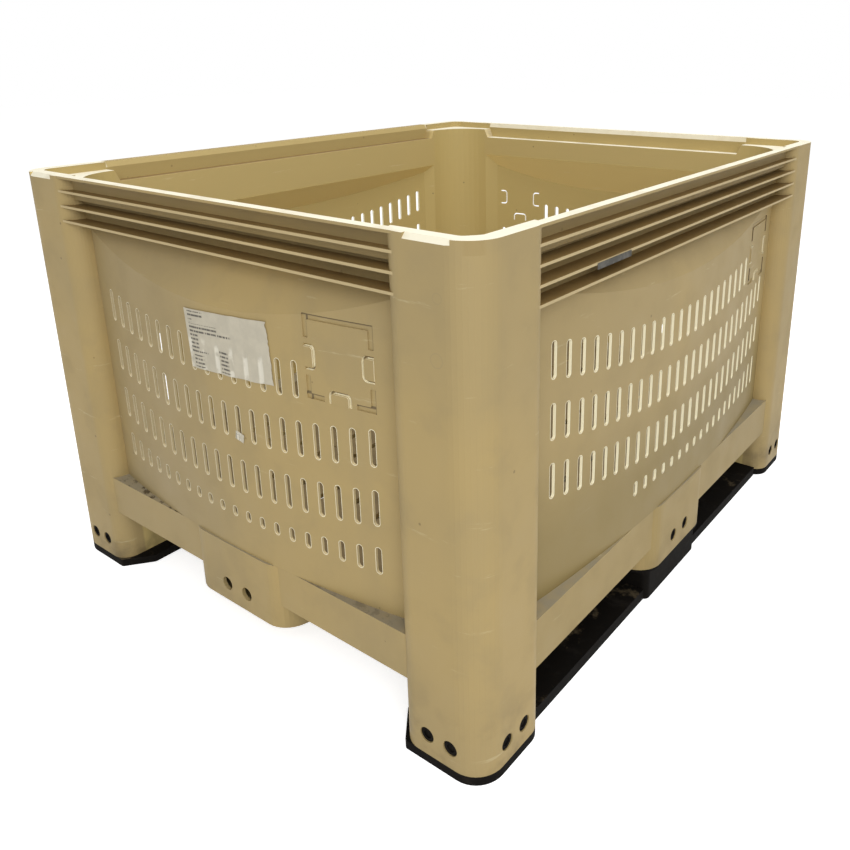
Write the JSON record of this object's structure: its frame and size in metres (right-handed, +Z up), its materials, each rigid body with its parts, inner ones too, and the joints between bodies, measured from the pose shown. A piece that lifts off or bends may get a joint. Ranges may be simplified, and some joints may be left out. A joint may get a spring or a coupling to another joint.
{
  "type": "ventilated fruit bin",
  "caption": "Open-topped bulk bin for fruit with bowed, slotted walls, ribbed rim, hollow corner posts, fork openings under the sills and black runners.",
  "frame": {"origin": "middle of the footprint, on the floor under the runners", "axes": "+Z up; the front, with the paper label, faces -Y; +X is the right side seen from the front, with the tag"},
  "size_m": [1.016, 1.219, 0.756],
  "materials": {
    "tan_plastic": "satin, worn",
    "black_plastic": "matt, dusty",
    "paper": "matt paper",
    "tag": "matt"
  },
  "bodies": {
    "root": {"post_front_right": "tan_plastic", "post_rear_right": "tan_plastic", "post_rear_left": "tan_plastic", "post_front_left": "tan_plastic", "rim_corner_front_right": "tan_plastic", "rim_corner_rear_right": "tan_plastic", "rim_corner_rear_left": "tan_plastic", "rim_corner_front_left": "tan_plastic", "rim_front": "tan_plastic", "rim_right": "tan_plastic", "rim_rear": "tan_plastic", "rim_left": "tan_plastic", "top_rail_front": "tan_plastic", "top_rail_right": "tan_plastic", "top_rail_rear": "tan_plastic", "top_rail_left": "tan_plastic", "wall_panel_front": "tan_plastic", "wall_panel_right": "tan_plastic", "wall_panel_rear": "tan_plastic", "wall_panel_left": "tan_plastic", "sill_front_left": "tan_plastic", "sill_front_right": "tan_plastic", "sill_right_front": "tan_plastic", "sill_right_rear": "tan_plastic", "sill_rear_right": "tan_plastic", "sill_rear_left": "tan_plastic", "sill_left_rear": "tan_plastic", "sill_left_front": "tan_plastic", "mid_foot_front": "tan_plastic", "mid_foot_right": "tan_plastic", "mid_foot_rear": "tan_plastic", "mid_foot_left": "tan_plastic", "floor_deck": "tan_plastic", "floor_ribs": "tan_plastic", "runner_right": "black_plastic", "runner_left": "black_plastic", "runner_studs_right": "black_plastic", "runner_studs_left": "black_plastic", "paper_label": "paper", "rib_tag": "tag"}
  },
  "joints": []
}
